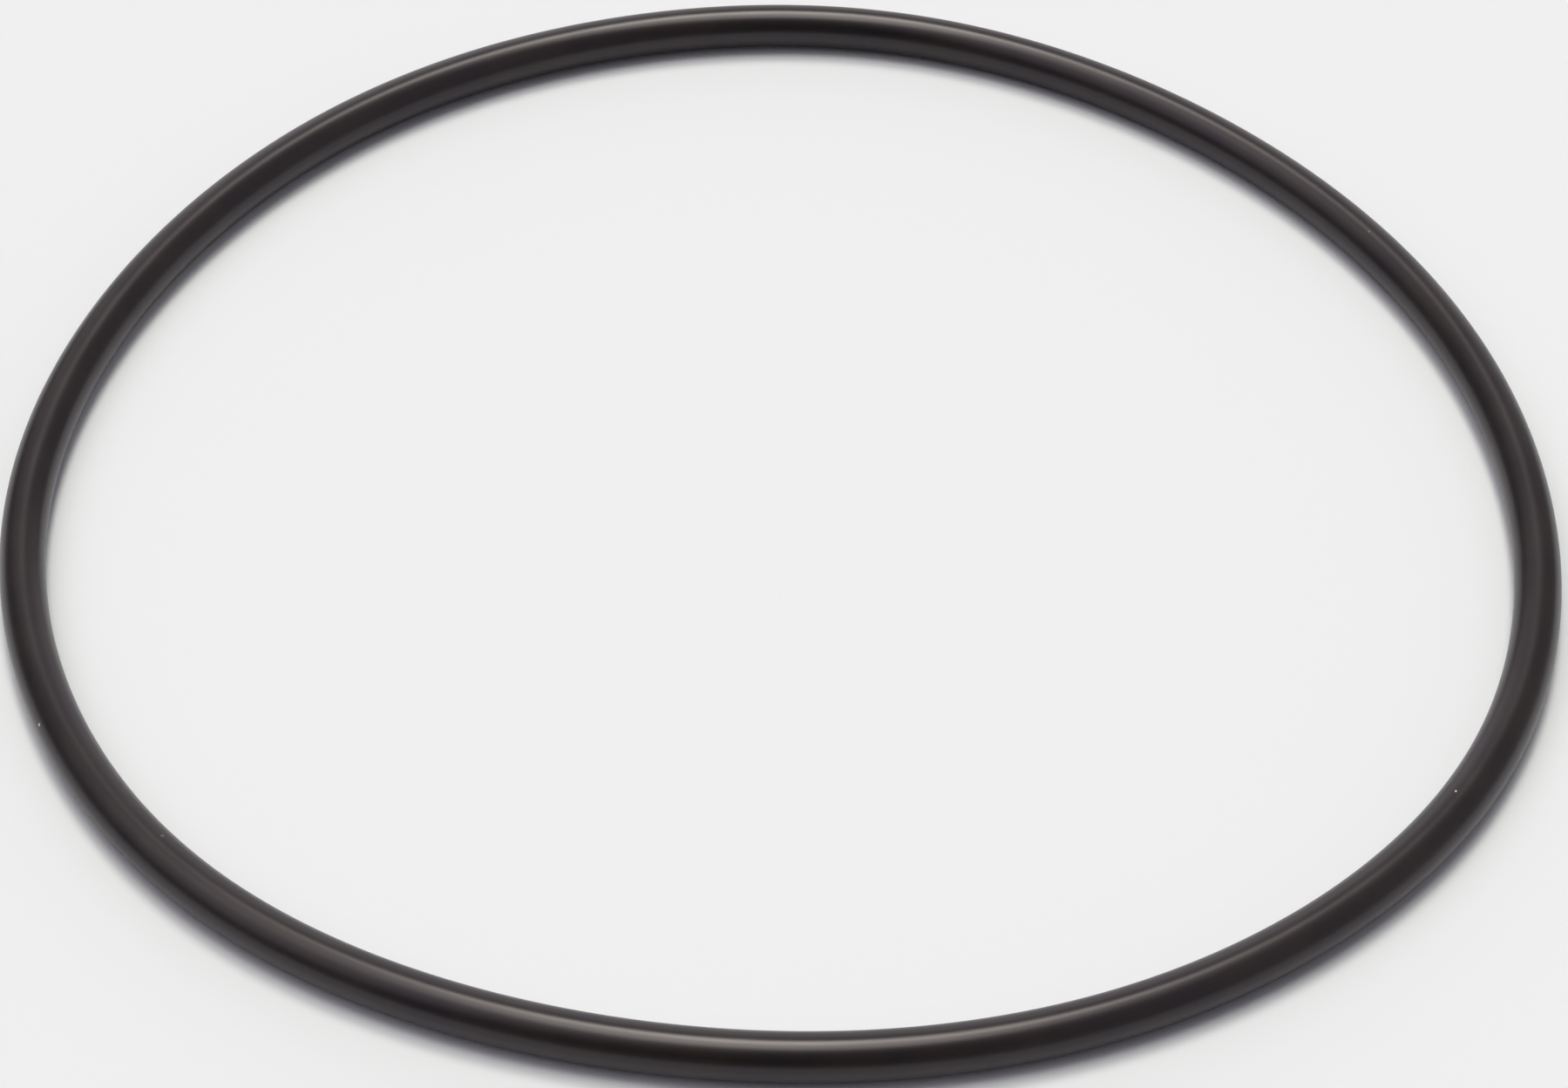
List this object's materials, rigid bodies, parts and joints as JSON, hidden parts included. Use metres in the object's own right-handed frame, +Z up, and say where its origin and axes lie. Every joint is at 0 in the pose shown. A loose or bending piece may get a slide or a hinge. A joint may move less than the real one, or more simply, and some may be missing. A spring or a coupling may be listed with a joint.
{
  "type": "rubber o-ring",
  "caption": "Moulded rubber o-ring of round section, lying relaxed and slightly out of round, as a seal for a shaft, cover or housing.",
  "frame": {"origin": "middle of the ring's outline, on the surface it lies on", "axes": "+Z up, along the ring's axis and square to the plane it lies in; +X to the right and +Y away, as the picture shows it"},
  "size_m": [0.1176, 0.1176, 0.0035],
  "materials": {
    "rubber": "smooth moulded black rubber with a soft satin sheen"
  },
  "bodies": {
    "root": {"o_ring": "rubber"}
  },
  "joints": []
}
